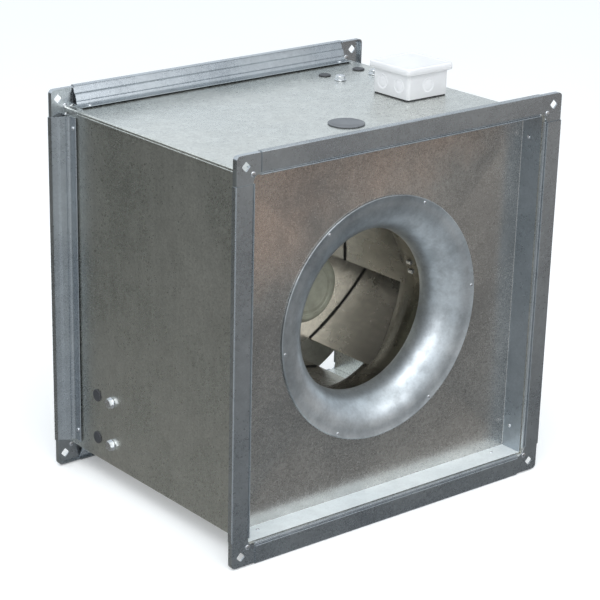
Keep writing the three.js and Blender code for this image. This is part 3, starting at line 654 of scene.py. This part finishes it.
def inlet_plate():
    """A tray pressed from one sheet: a rim along the walls, and a plate with a round opening. The sheet's
    upward faces are coloured lighter (painted light) and the rim's other faces darker (painted shade).
    """
    _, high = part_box("inlet_plate")
    front = 0.0062
    back = high.y - INLET
    bend = 0.0012
    opening = CONE_BEND_RADIUS - 0.002
    loops = [(circle(opening, RING_STEPS), back - SHEET)]
    loops += [(circle(opening + 0.004, RING_STEPS), back - SHEET)]
    inner = LINING - SHEET
    for half, depth in arc(inner - bend, back - SHEET - bend, bend, bend, 90, 0, 5):
        loops.append((square(half, RING_STEPS), depth))
    loops += [(square(inner, RING_STEPS), front), (square(LINING, RING_STEPS), front)]
    outside = bend + SHEET
    for half, depth in arc(LINING - outside, back - outside, outside, outside, 0, 90, 5):
        loops.append((square(half, RING_STEPS), depth))
    loops += [(circle(opening + 0.004, RING_STEPS), back), (circle(opening, RING_STEPS), back)]
    bm = bmesh.new()
    loft(bm, loops, closed=True)
    sheet = piece("inlet_plate_sheet", bm, "inlet_plate", "casing", ["inlet_plate"], 0, 30)
    sheet.data.materials.append(LOOKS["lining"])
    sheet.data.materials.append(LOOKS["lining_floor"])
    # Upward faces take the painted light copy of the sheet; the rim's other faces take the painted shade
    # copy.
    for face in sheet.data.polygons:
        if face.normal.z > 0.8:
            face.material_index = 2
        elif abs(face.normal.y) < 0.6:
            face.material_index = 1


def inlet_cone():
    low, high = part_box("inlet_cone")
    rim = (high.x - low.x) / 2
    lip = low.y - INLET
    front = lip + 0.001
    rear = high.y - INLET
    radial = CONE_BEND_RADIUS - THROAT_RADIUS
    axial = CONE_THROAT_DEPTH - front

    def bend(thinner):
        return arc(CONE_BEND_RADIUS, CONE_THROAT_DEPTH, radial - thinner, axial - thinner, -90, -180, 28)

    bead = arc(rim - 0.0013, lip + 0.0012, 0.0013, 0.0012, 60, -120, 7)
    profile = [(rim - 0.0006, front + CONE_SHEET), *bead, (rim - 0.0034, front - 0.0004), *bend(0)]
    profile += [(THROAT_RADIUS, rear - 0.0006), (THROAT_RADIUS + 0.0006, rear)]
    profile += [(THROAT_RADIUS + CONE_SHEET, rear), *reversed(bend(CONE_SHEET))]
    bm = bmesh.new()
    turned(bm, profile, steps=RING_STEPS)
    piece("spun_inlet_cone", bm, "inlet_cone", "casing", ["inlet_cone"], 0, 60)
    rivets = bmesh.new()
    start = radians(5)
    for x, y in circle(rim - 0.005, 6, start=start):
        dome(rivets, FAN @ at(x, y, front) @ tipped(pi), 0.0024, 0.0012)
    piece("inlet_cone_rivets", rivets, "steel", "casing", edge=0)


def inlet_rim_screws():
    """Two small screws through the inlet plate's rim and the casing on each wall."""
    bm = bmesh.new()
    depth = 0.0285
    from_middle = 0.2145
    for i in range(4):
        for along in (-from_middle, from_middle):
            foot = at(along, -LINING + SHEET, depth)
            dome(bm, FAN @ quarter_turns(i) @ foot @ tipped(-QUARTER), 0.0026, 0.0016)
    piece("inlet_rim_screws", bm, "steel", "casing", edge=0)


# ---- Impeller ----
SHROUD_INLET = THROAT_RADIUS + 0.004
SHROUD_BEND_DEPTH = 0.098
SHROUD_BEND = 0.090
SHROUD_SHEET = 0.0015
plate_low, plate_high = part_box("impeller_back_plate")
IMPELLER_RADIUS = (plate_high.x - plate_low.x) / 2
PLATE_FRONT = plate_low.y - INLET
PLATE_BACK = plate_high.y - INLET
BLADES = [name for name in frame["nodes"] if name.startswith("impeller_blade_")]
BLADE_START = (0.126, radians(-60.4))
BLADE_END = (IMPELLER_RADIUS, radians(-2.9))
BLADE_CURVE = 0.400
BLADE_THICK = 0.002


def shroud_depth(radius):
    """The depth of the shroud's inner side at a radius."""
    return SHROUD_BEND_DEPTH + sqrt(SHROUD_BEND**2 - (SHROUD_INLET + SHROUD_BEND - radius) ** 2)


def impeller_shroud():
    low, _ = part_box("impeller_shroud")
    start = low.y - INLET
    centre = SHROUD_INLET + SHROUD_BEND

    def bend(offset):
        radius = SHROUD_BEND - offset
        sweep = degrees(acos((centre - IMPELLER_RADIUS) / radius))
        return arc(centre, SHROUD_BEND_DEPTH, radius, radius, 180, 180 - sweep, 24)

    profile = [(SHROUD_INLET + SHROUD_SHEET, start + 0.0004), *bend(SHROUD_SHEET)]
    profile += [*reversed(bend(0)), (SHROUD_INLET, start + 0.0004), (SHROUD_INLET + 0.0007, start)]
    bm = bmesh.new()
    turned(bm, profile, steps=RING_STEPS)
    piece("impeller_shroud_ring", bm, "shroud", "impeller", ["impeller_shroud"], 0, 50)


def impeller_back_plate():
    hole = 0.0535
    edge = 0.0003
    profile = [(hole + edge, PLATE_FRONT), (IMPELLER_RADIUS - edge, PLATE_FRONT)]
    profile += [(IMPELLER_RADIUS, PLATE_FRONT + edge), (IMPELLER_RADIUS, PLATE_BACK - edge)]
    profile += [(IMPELLER_RADIUS - edge, PLATE_BACK), (hole + edge, PLATE_BACK), (hole, PLATE_BACK - edge)]
    profile += [(hole, PLATE_FRONT + edge)]
    bm = bmesh.new()
    turned(bm, profile, steps=RING_STEPS)
    piece("impeller_back_disc", bm, "impeller", "impeller", ["impeller_back_plate"], 0, 30)
    rivets = bmesh.new()
    for x, y in circle(0.062, 8, start=pi / 8):
        dome(rivets, FAN @ at(x, y, PLATE_FRONT) @ tipped(pi), 0.0034, 0.0018)
    piece("impeller_rivets", rivets, "steel", "impeller", edge=0)


def blade_line(steps, thick=0.0):
    """Points along a blade in x and y, offset to one side by half a thickness."""
    start, end = [Vector((r * cos(a), r * sin(a))) for r, a in (BLADE_START, BLADE_END)]
    chord = end - start
    height = sqrt(BLADE_CURVE**2 - (chord.length / 2) ** 2)
    centre = (start + end) / 2 + Vector((-chord.y, chord.x)).normalized() * height
    first = atan2(*reversed(start - centre))
    last = atan2(*reversed(end - centre))
    radius = BLADE_CURVE + thick
    angles = [first + (last - first) * i / steps for i in range(steps + 1)]
    return [centre + Vector((radius * cos(a), radius * sin(a))) for a in angles]


def blade(name, turn):
    """A sheet blade between shroud and back plate, and the weld beads along its root."""
    across_steps = 26
    deep_steps = 10
    rear = PLATE_FRONT - GAP
    place = FAN @ Matrix.Rotation(-turn, 4, "Z")
    bm = bmesh.new()
    sides = []
    for offset in (-BLADE_THICK / 2, BLADE_THICK / 2):
        grid = []
        for point in blade_line(across_steps, offset):
            radius = min(point.length, IMPELLER_RADIUS)
            point = point * (radius / point.length)
            front = shroud_depth(radius) + GAP
            depths = [front + (rear - front) * j / deep_steps for j in range(deep_steps + 1)]
            grid.append([bm.verts.new(place @ Vector((*point, depth))) for depth in depths])
        sides.append(grid)
    for grid in sides:
        for i in range(across_steps):
            for j in range(deep_steps):
                bm.faces.new((grid[i][j], grid[i + 1][j], grid[i + 1][j + 1], grid[i][j + 1]))
    near, far = sides
    for i in range(across_steps):
        for j in (0, deep_steps):
            bm.faces.new((near[i][j], near[i + 1][j], far[i + 1][j], far[i][j]))
    for j in range(deep_steps):
        for i in (0, across_steps):
            bm.faces.new((near[i][j], near[i][j + 1], far[i][j + 1], far[i][j]))
    piece(f"{name}_sheet", bm, "impeller", "impeller", [name], 0.0004, 50)
    bead = bmesh.new()
    for offset in (-BLADE_THICK / 2 - 0.0004, BLADE_THICK / 2 + 0.0004):
        root = [place @ Vector((*point, rear - 0.0003)) for point in blade_line(across_steps, offset)[:-1]]
        tube(bead, root, 0.0018)
    piece(f"{name}_weld", bead, "weld", "impeller", edge=0)


def balance_clips():
    """Two small spring clips inside the shroud's mouth, which balance the impeller."""
    bm = bmesh.new()
    for angle in (12, 19):
        turn = Matrix.Rotation(radians(angle), 4, "Z")
        outline = softened([(-0.0025, -0.003), (0.0, -0.003), (0.0, 0.003), (-0.0025, 0.003)], 0.0012)
        slab(bm, outline, 0.106, 0.114, FAN @ turn @ at(SHROUD_INLET + 0.0002, 0, 0))
    piece("impeller_balance_clips", bm, "steel", "impeller")


# ---- Motor ----
def rotor_can():
    low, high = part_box("motor_rotor_can")
    face = low.y - INLET
    end = high.y - INLET
    radius = 0.052
    corner = 0.011
    seat = PLATE_BACK + GAP
    flange = (high.x - low.x) / 2
    wall = 0.004
    inside = face + wall + 0.001
    bead = [(0.0305, face + 0.0004), (0.0318, face - 0.0001), (0.0331, face + 0.0004)]
    rim = 0.0004
    ledge = seat + 0.003
    profile = [(0.004, face + 0.0016), (0.0055, face + 0.001), (0.024, face + 0.001), *bead]
    profile += [(0.037, face + 0.001), (0.0378, face + 0.0008), (0.0386, face)]
    profile += arc(radius - corner, face + corner, corner, corner, -90, 0, 10)
    profile += [(radius, seat - 0.001), (radius + 0.001, seat), (flange - rim, seat), (flange, seat + rim)]
    profile += [(flange, ledge - rim), (flange - rim, ledge), (radius, ledge), (radius, end - 0.0005)]
    profile += [(radius - 0.0005, end), (radius - wall, end), (radius - wall, inside), (0.004, inside)]
    bm = bmesh.new()
    turned(bm, profile, steps=96, closed=False)
    piece("rotor_can_shell", bm, "rotor", "impeller", ["motor_rotor_can"], 0.0002, 30)


def motor_flange():
    """A turned cast flange, and the tube inside the stator."""
    low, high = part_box("motor_flange")
    radius = (high.x - low.x) / 2
    front = 0.272
    back = high.y - INLET
    tube_start = low.y - INLET
    profile = [(0.0163, front + 0.004), (0.0163, tube_start), (0.020, tube_start), (0.020, front - 0.003)]
    profile += [(0.023, front), (radius - 0.002, front), (radius, front + 0.002), (radius, back - 0.0006)]
    profile += [(radius - 0.0006, back), (0.034, back), (0.033, back - 0.0015), (0.004, back - 0.0015)]
    bm = bmesh.new()
    turned(bm, profile, steps=80, closed=False)
    piece("motor_flange_casting", bm, "motor_flange", "casing", ["motor_flange"], 0.0003, 30)


def hex_head(bm, place, apothem, height, steps=48):
    """A hexagon with the chamfer turned on its end, standing on its space's origin."""
    chamfer = height * 0.16
    loops = [(hexagon(apothem, steps), 0.0), (hexagon(apothem, steps), height - chamfer)]
    loops.append((circle(apothem * 0.97, steps), height))
    loops.append((circle(apothem * 0.55, steps), height))
    loft(bm, loops, place, capped=True)


def motor_screws():
    for i in range(4):
        node = f"motor_screw_{i + 1}"
        low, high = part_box(node)
        middle = (low + high) / 2
        head = 0.004
        place = at(middle.x, high.y - head, middle.z) @ tipped(-QUARTER)
        bm = bmesh.new()
        washer = [(0.0062, -0.0002), (0.0064, 0.0001), (0.0064, 0.0007), (0.0062, 0.001)]
        turned(bm, washer, place, 32, closed=False)
        hex_head(bm, place @ at(0, 0, 0.001), 0.0048, head - 0.001)
        shank = head - (high.y - low.y)
        turned(bm, [(0.003, shank), (0.003, 0)], place, 24, closed=False)
        piece(f"{node}_detailed", bm, "steel", "casing", [node], 0.0002, 30)


# ---- Rails ----
RAIL_EDGES = (0.014, 0.078)
RAIL_SHEET = 0.002
RAIL_LEG = 0.016


def along_wall(offset):
    """How far along a wall a line meets it that runs beside the diagonal at an offset."""
    return LINING - offset * sqrt(2)


def diagonal_band(near, far):
    return [
        (-LINING, -along_wall(near)),
        (along_wall(near), LINING),
        (along_wall(far), LINING),
        (-LINING, -along_wall(far)),
    ]


def rail(node, turn):
    """A channel along the diagonal with slots between the motor screws, and a tab on each wall."""
    low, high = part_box(node)
    front = low.y - INLET
    web_back = front + RAIL_SHEET
    tab_back = high.y - INLET
    near, far = RAIL_EDGES
    place = FAN @ Matrix.Rotation(turn, 4, "Z")
    diagonal = Vector((1, 1)).normalized()
    sideways = Vector((-1, 1)).normalized()
    holes = [circle(0.0034, 20, -0.045, 0.0), circle(0.0034, 20, 0.0, 0.045)]
    for along in (-0.19, -0.135, 0.135, 0.19):
        centre = diagonal * along + sideways * (near + far) / 2
        slot_half = 0.014
        end = 0.006
        ring = arc(slot_half, 0, end, end, -90, 90, 8) + arc(-slot_half, 0, end, end, 90, 270, 8)
        holes.append([tuple(centre + diagonal * a + sideways * b) for a, b in ring])
    bm = bmesh.new()
    slab(bm, diagonal_band(near, far), front, web_back, place, holes)
    slab(bm, diagonal_band(near, near + RAIL_SHEET), web_back, web_back + RAIL_LEG, place)
    slab(bm, diagonal_band(far - RAIL_SHEET, far), web_back, web_back + RAIL_LEG, place)
    outer, inner = along_wall(near), along_wall(far)
    wall = LINING - RAIL_SHEET
    left_tab = [(-LINING, -outer), (-wall, -outer), (-wall, -inner), (-LINING, -inner)]
    top_tab = [(inner, wall), (outer, wall), (outer, LINING), (inner, LINING)]
    for tab in (left_tab, top_tab):
        slab(bm, tab, web_back, tab_back, place)
    piece(f"{node}_channel", bm, "rail", "casing", [node], 0.0005)


# ---- Wall fasteners ----
def rail_bolt(node, side):
    """A hexagon bolt: washer and head outside the wall, thread and nut inside it."""
    place = outward(node, side)
    washer = 0.0016
    head = 0.0053
    apothem = 0.0065
    nut_face = -(SHEET + 2 * GAP + RAIL_SHEET + GAP)
    nut = 0.0065
    thread_end = nut_face - 0.009
    bm = bmesh.new()
    rim = [(0.0083, 0), (0.0085, 0.0002), (0.0085, washer - 0.0002), (0.0083, washer)]
    turned(bm, rim, place, 36, closed=False)
    hex_head(bm, place @ at(0, 0, washer), apothem, head)
    hex_head(bm, place @ at(0, 0, nut_face) @ tipped(pi), apothem, nut)
    pitch = 0.00125
    turns = int((-thread_end) / pitch)
    thread = [(0.0036, thread_end - 0.0002)]
    for i in range(turns):
        level = thread_end + pitch * i
        thread += [(0.00335, level), (0.004, level + pitch * 0.5)]
    thread.append((0.0036, 0))
    turned(bm, thread, place, 24, closed=False)
    piece(f"{node}_detailed", bm, "steel", "casing", [node], 0, 24)


def snap_plug(node, side, look, dished):
    """A snap-in plug: a cap with a rolled rim outside the sheet and a barbed stem through it."""
    low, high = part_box(node)
    sizes = sorted(high - low)
    cap = sizes[2] / 2
    thick = 0.0018
    stem = cap - (0.0043 if dished else 0.0023)
    place = outward(node, side)
    middle = thick * (0.72 if dished else 1.0)
    rim = arc(cap - 0.0012, thick * 0.4, 0.0012, thick * 0.6, -30, 90, 8)
    profile = [(stem - 0.0008, -0.0047), (stem - 0.0004, -0.003), (stem, -0.0024), (stem - 0.0006, 0), *rim]
    if dished:
        profile += [(cap - 0.0030, thick), (cap - 0.0038, middle), (0.004, middle)]
    else:
        profile += [(cap * 0.5, middle + 0.00002), (0.001, middle + 0.00003)]
    bm = bmesh.new()
    turned(bm, profile, place, 72 if dished else 40, closed=False)
    piece(f"{node}_moulding", bm, look, "casing", [node], 0, 40)


# ---- Junction box ----
base_low, base_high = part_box("junction_box_base")
lid_low, lid_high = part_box("junction_box_lid")
BOX_MIDDLE = (lid_low + lid_high) / 2
BOX_SIDE = 0.074
COLLAR_SIDE = 0.080
LID_SIDE = lid_high.x - lid_low.x
BOX_WALL = 0.002
BOX_SPACE = at(BOX_MIDDLE.x, BOX_MIDDLE.y, 0)


def square_loops(rows):
    """Rounded squares as (side, corner radius, height) rows for a loft."""
    return [(rounded_square(side, radius), height) for side, radius, height in rows]


def knockout(bm, turn, along, middle_z):
    """A thin round disc to be pressed out of a wall, with a groove round it."""
    place = BOX_SPACE @ Matrix.Rotation(turn, 4, "Z") @ at(along, BOX_SIDE / 2, middle_z)
    place = place @ tipped(-QUARTER)
    profile = [(0.0109, -0.0004), (0.0106, 0.0003), (0.0099, 0.0005), (0.0087, 0.0005), (0.0083, 0.0002)]
    profile += [(0.0077, 0.0002), (0.0073, 0.0004), (0.001, 0.0004)]
    turned(bm, profile, place, 40, closed=False)


def junction_box_base():
    foot = base_low.z + 0.0014
    rim = base_high.z
    ledge = rim - 0.0035
    inner = BOX_SIDE - 2 * BOX_WALL
    rows = [
        (BOX_SIDE - 0.0012, 0.0044, foot),
        (BOX_SIDE, 0.005, foot + 0.0006),
        (BOX_SIDE, 0.005, ledge - 0.0008),
        (COLLAR_SIDE - 0.001, 0.0058, ledge),
        (COLLAR_SIDE, 0.006, ledge + 0.0006),
        (COLLAR_SIDE, 0.006, rim - 0.0004),
        (COLLAR_SIDE - 0.0008, 0.0056, rim),
        (inner + 0.0006, 0.0034, rim),
        (inner, 0.003, rim - 0.0004),
        (inner, 0.003, foot + 0.003),
        (inner - 0.002, 0.002, foot + BOX_WALL),
    ]
    bm = bmesh.new()
    loft(bm, square_loops(rows), BOX_SPACE, capped=True)
    middle = (foot + ledge) / 2
    for turn in (QUARTER, -QUARTER):
        for along in (-0.017, 0.017):
            knockout(bm, turn, along, middle)
    knockout(bm, 0, 0, middle)
    knockout(bm, pi, 0, middle)
    piece("junction_box_body", bm, "white_plastic", "casing", ["junction_box_base"], 0, 45)
    gasket = bmesh.new()
    slab(gasket, rounded_square(BOX_SIDE - 0.002, 0.004), base_low.z - 0.0002, foot, BOX_SPACE)
    piece("junction_box_gasket", gasket, "gasket", "casing", edge=0)


def junction_box_lid():
    top = lid_high.z
    skirt = base_high.z - 0.0025
    ceiling = top - 0.0025
    inner = COLLAR_SIDE + 0.001
    rows = [
        (0.002, 0.0009, ceiling),
        (inner - 0.002, 0.004, ceiling),
        (inner, 0.0045, ceiling - 0.001),
        (inner, 0.0045, skirt + 0.0003),
        (inner + 0.0006, 0.0048, skirt),
        (LID_SIDE - 0.0010, 0.0060, skirt),
        (LID_SIDE, 0.0065, skirt + 0.0006),
        (LID_SIDE - 0.0003, 0.0065, top - 0.0026),
        (LID_SIDE - 0.0010, 0.0062, top - 0.0012),
        (LID_SIDE - 0.0026, 0.0056, top - 0.0004),
        (LID_SIDE - 0.0050, 0.0046, top - 0.00015),
        (LID_SIDE - 0.0120, 0.0040, top - 0.0003),
        (LID_SIDE - 0.0132, 0.0036, top - 0.0008),
        (LID_SIDE - 0.0180, 0.0030, top - 0.0008),
        (0.004, 0.0015, top - 0.0006),
    ]
    bm = bmesh.new()
    loft(bm, square_loops(rows), BOX_SPACE, capped=True)
    rib = BOX_SIDE - 2 * BOX_WALL - 0.001
    wall = 0.0015
    rib_rows = [(rib, 0.0025, ceiling), (rib, 0.0025, lid_low.z), (rib - 2 * wall, 0.0015, lid_low.z)]
    rib_rows.append((rib - 2 * wall, 0.0015, ceiling))
    loft(bm, square_loops(rib_rows), BOX_SPACE, closed=True)
    piece("junction_box_cover", bm, "white_plastic", "box_lid", ["junction_box_lid"], 0, 45)


# ---- The whole fan ----
def build_fan():
    dress_cad_nodes()
    add_flange("inlet", FAN, SIDES, ["bottom_left", "top_left", "top_right", "bottom_right"])
    outlet_sides = ["bottom", "right", "top", "left"]
    outlet_corners = ["bottom_right", "top_right", "top_left", "bottom_left"]
    add_flange("outlet", FAN @ TURNED_ROUND, outlet_sides, outlet_corners)
    seam_beads()
    inlet_plate()
    inlet_cone()
    inlet_rim_screws()
    impeller_shroud()
    impeller_back_plate()
    for i, name in enumerate(sorted(BLADES)):
        blade(name, 2 * pi * i / len(BLADES))
    balance_clips()
    rotor_can()
    motor_flange()
    motor_screws()
    rail("motor_rail_upper", 0)
    rail("motor_rail_lower", pi)
    for side in SIDES:
        for i in (1, 2):
            rail_bolt(f"rail_bolt_{side}_{i}", side)
            snap_plug(f"hole_plug_{side}_{i}", side, "black_plastic", False)
    snap_plug("cable_hole_plug", "top", "grey_plastic", True)
    junction_box_base()
    junction_box_lid()


# ---- Stage ----
def add_floor():
    reach = 30.0
    surface = Surface("pale_floor", 0.0, 0.9)
    speckle = surface.noise(3.0, 2.0)
    surface.colour(surface.mixed(speckle, (0.90, 0.90, 0.90), (0.92, 0.92, 0.92)))
    surface.feed(surface.shader.inputs["Emission Color"], (1, 0.99, 0.985))
    surface.feed(surface.shader.inputs["Emission Strength"], 0.16)
    bpy.ops.mesh.primitive_plane_add(size=2 * reach, location=(0, 0, -0.0005))
    floor = bpy.context.object
    floor.name = "floor"
    floor.data.materials.append(surface.material)
    floor.visible_glossy = False


BACK_LEFT = [
    (-1.00, (0.45, 0.46, 0.455)),
    (-0.60, (0.235, 0.226, 0.206)),
    (-0.44, (0.20, 0.196, 0.182)),
    (-0.28, (0.058, 0.058, 0.048)),
    (0.04, (0.046, 0.047, 0.042)),
    (0.24, (1.04, 1.12, 1.20)),
    (1.00, (0.76, 0.82, 0.85)),
]
FRONT_RIGHT = [
    (-1.00, (0.48, 0.51, 0.535)),
    (-0.62, (0.17, 0.19, 0.205)),
    (-0.43, (0.118, 0.132, 0.142)),
    (-0.35, (0.064, 0.068, 0.068)),
    (-0.26, (0.345, 0.32, 0.30)),
    (0.00, (0.345, 0.32, 0.30)),
    (0.24, (0.60, 0.65, 0.70)),
    (1.00, (0.76, 0.82, 0.85)),
]
FRONT_LEFT = [
    (-1.00, (0.55, 0.58, 0.60)),
    (-0.50, (0.41, 0.44, 0.46)),
    (0.00, (0.43, 0.455, 0.47)),
    (0.30, (1.10, 1.15, 1.20)),
    (1.00, (0.76, 0.82, 0.85)),
]


def add_world():
    """Soft studio surroundings: a bright sky, and darker ground for the upright metal to reflect."""
    world = bpy.data.worlds.new("studio")
    bpy.context.scene.world = world
    world.use_nodes = True
    graph = Graph(world.node_tree, "Generated")
    axes = graph.axes()
    back, front, near = [banded(graph, axes["Z"], stops) for stops in (BACK_LEFT, FRONT_RIGHT, FRONT_LEFT)]
    far = graph.mixed(towards(graph, axes, 1, -1, (-0.7, 0.7)), back, front)
    whole = graph.mixed(towards(graph, axes, -1, -1, (0.35, 1.15)), far, near)
    background = graph.add("ShaderNodeBackground", {"Color": whole}).outputs["Background"]
    graph.add("ShaderNodeOutputWorld", {"Surface": background})


def towards(graph, axes, along_x, along_y, limits):
    """A smooth change from 0 to 1 as directions turn towards a diagonal of the floor."""
    x = graph.times(axes["X"], along_x)
    y = graph.times(axes["Y"], along_y)
    return graph.fitted(graph.maths("ADD", x, y), *limits, 0, 1, interpolation_type="SMOOTHSTEP")


def banded(graph, height, stops):
    """A smooth run of colours from the ground straight below, at -1, to the sky straight above, at 1."""
    ramp = graph.add("ShaderNodeValToRGB", {"Fac": graph.fitted(height, -1, 1, 0, 1)})
    ramp.color_ramp.interpolation = "EASE"
    elements = ramp.color_ramp.elements
    while len(elements) < len(stops):
        elements.new(0.5)
    for element, (level, colour) in zip(elements, stops):
        element.position = (level + 1) / 2
        element.color = (*colour, 1)
    return ramp.outputs["Color"]


def add_light(name, place, aim, size, power):
    lamp = bpy.data.lights.new(name, "AREA")
    lamp.shape = "DISK"
    lamp.size = size
    lamp.energy = power
    made = bpy.data.objects.new(name, lamp)
    made.location = place
    made.rotation_mode = "QUATERNION"
    made.rotation_quaternion = (Vector(aim) - Vector(place)).to_track_quat("-Z", "Y")
    bpy.context.scene.collection.objects.link(made)


def add_camera():
    """A long lens from the front left and above, with the picture cut off-centre."""
    azimuth = radians(-36.16)
    elevation = radians(21.62)
    roll = radians(0.09)
    back = Vector((
        sin(azimuth) * cos(elevation),
        -cos(azimuth) * cos(elevation),
        sin(elevation),
    ))
    level = Vector((cos(azimuth), sin(azimuth), 0))
    right = level * cos(roll) + back.cross(level) * sin(roll)
    turn = Matrix((right, back.cross(right), back)).transposed().to_4x4()
    lens = bpy.data.cameras.new("camera")
    lens.lens = 122.0
    lens.sensor_width = 36
    lens.shift_x = 0.2058
    lens.shift_y = 0.1198
    lens.clip_end = 100
    camera = bpy.data.objects.new("camera", lens)
    camera.matrix_world = at(-1.7357, -2.0814, 1.2198) @ turn
    bpy.context.scene.collection.objects.link(camera)
    bpy.context.scene.camera = camera


def add_stage():
    add_floor()
    add_world()
    add_light("softbox_over", (-0.8, -1.0, 2.6), (0, 0, 0.3), 2.6, 36)
    add_light("softbox_front", (0.9, -2.6, 1.7), (0, 0, 0.25), 1.4, 10)
    add_light("softbox_camera", (-2.0, -1.9, 1.7), (0, -0.1, 0.28), 1.8, 10)
    add_camera()
    bpy.context.scene.view_settings.view_transform = "Standard"


build_fan()
add_stage()
